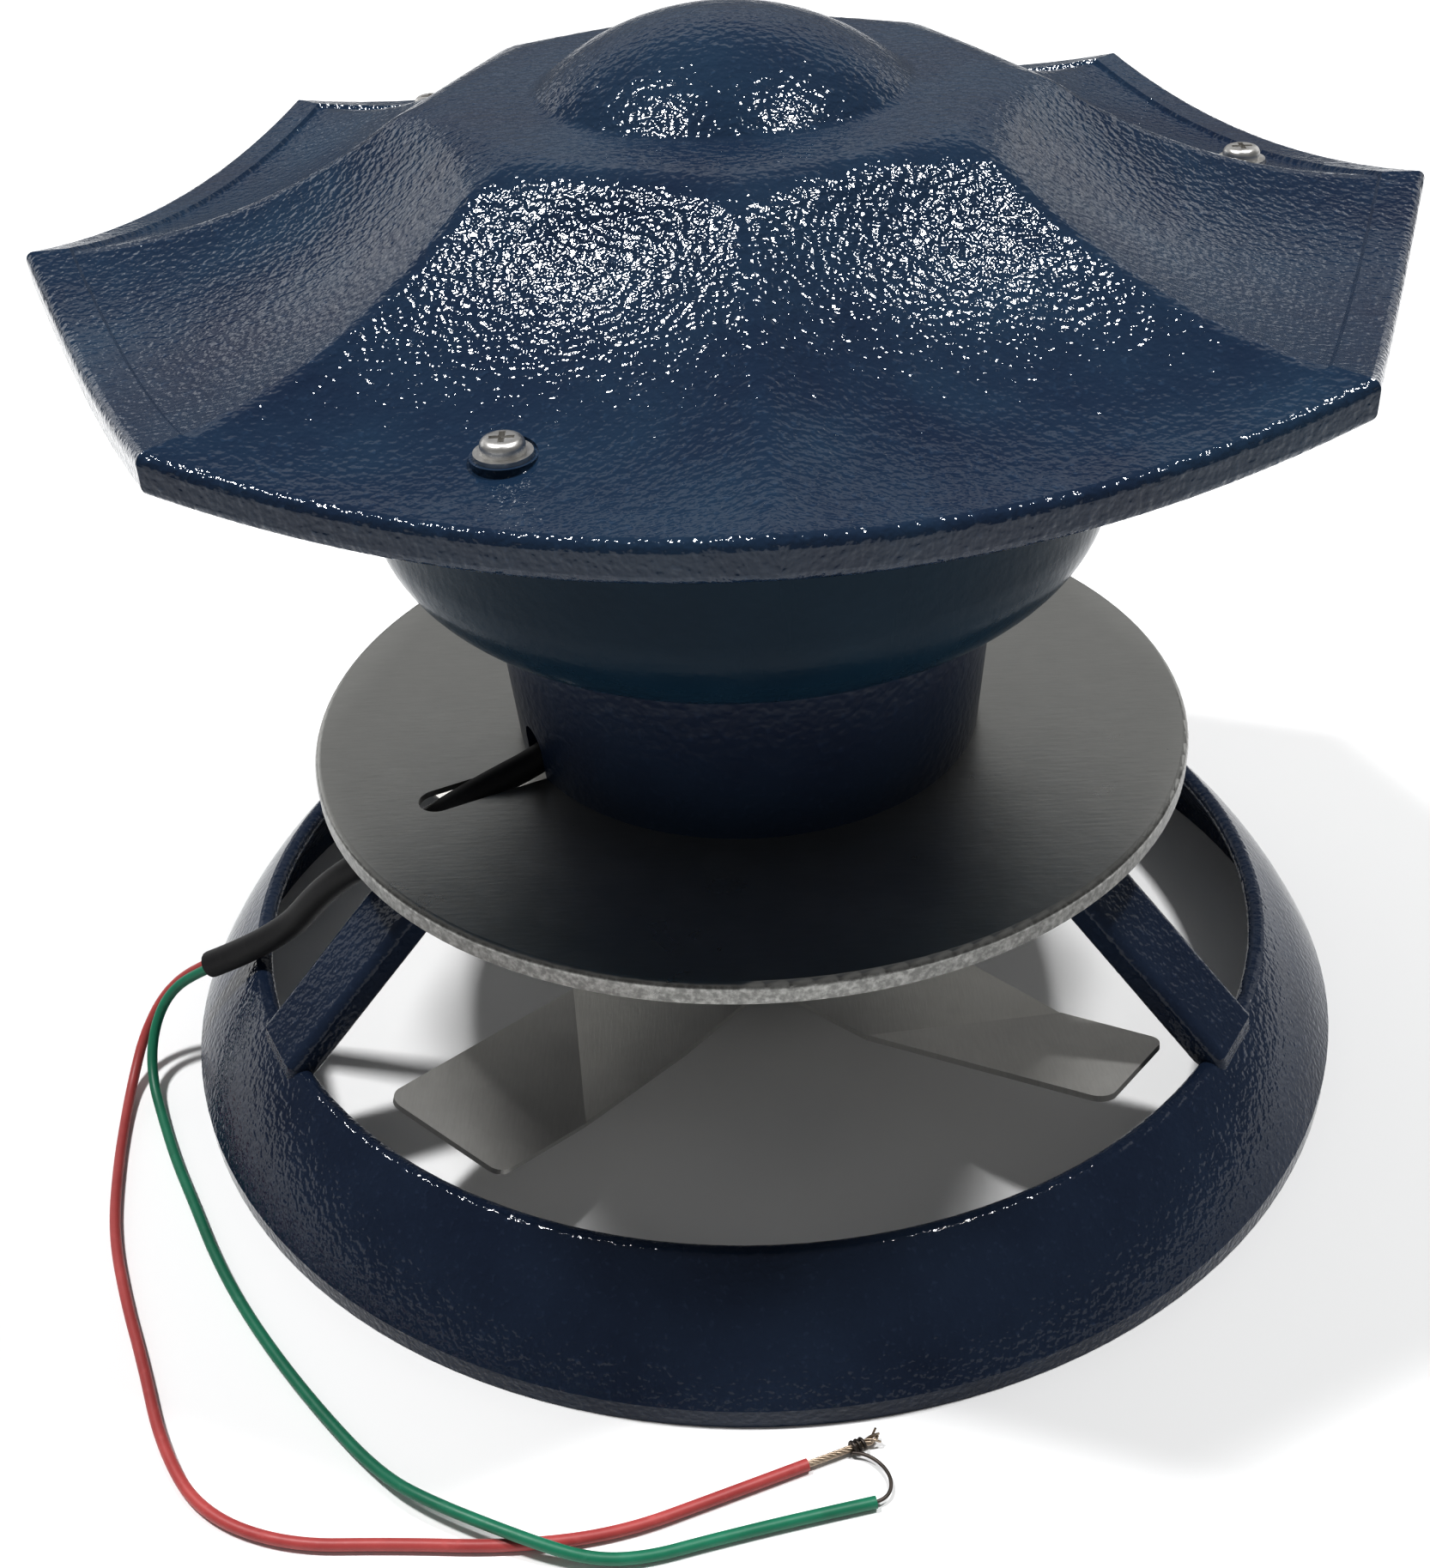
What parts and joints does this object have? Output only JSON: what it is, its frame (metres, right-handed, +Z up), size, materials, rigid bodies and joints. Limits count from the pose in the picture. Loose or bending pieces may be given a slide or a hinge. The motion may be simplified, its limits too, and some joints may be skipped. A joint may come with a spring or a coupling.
{
  "type": "chimney draught fan",
  "caption": "Motor-driven chimney draught fan with a cast ring foot on arms, sheet propeller, heat shield disc, motor cup and bowl, and an eight-sided cast hood with loose leads.",
  "frame": {"origin": "on the shaft's axis, level with the foot of the base ring", "axes": "+Z up along the shaft, -Y towards the front of the picture"},
  "size_m": [0.3146, 0.3325, 0.253],
  "materials": {
    "navy_cast": "gloss over rough casting",
    "navy_gloss": "gloss",
    "galvanised": "satin",
    "sheet_aluminium": "satin",
    "turned_steel": "turned",
    "zinc": "bright zinc",
    "cast_aluminium": "as cast",
    "lamination": "matt",
    "copper_wire": "varnished",
    "black_sleeve": "satin",
    "red_pvc": "satin",
    "green_pvc": "satin",
    "bare_copper": "tinned strand"
  },
  "bodies": {
    "body": {"base_casting": "navy_cast", "shield_disc": "galvanised", "motor_cup": "navy_cast", "bowl": "navy_gloss", "hood": "navy_cast", "hood_screws": "zinc", "hood_washers": "zinc", "hood_nuts": "zinc", "bowl_screws": "zinc", "lower_bell": "cast_aluminium", "upper_bell": "cast_aluminium", "stator_core": "lamination", "stator_windings": "copper_wire", "lower_bearing": "turned_steel", "upper_bearing": "turned_steel", "through_bolts": "zinc", "through_nuts": "zinc", "cable_sleeve": "black_sleeve", "red_lead": "red_pvc", "green_lead": "green_pvc", "bare_ends": "bare_copper"},
    "rotor": {"motor_shaft": "turned_steel", "rotor_core": "lamination", "fan_propeller": "sheet_aluminium", "fan_collar": "turned_steel", "fan_rivets": "sheet_aluminium", "set_screw": "turned_steel", "shaft_washer": "zinc", "shaft_nut": "zinc"}
  },
  "joints": [
    {"name": "rotor_spin", "type": "hinge", "parent": "body", "child": "rotor", "pos_m": [0, 0, 0.1], "axis": [0, 0, 1], "continuous": true}
  ]
}
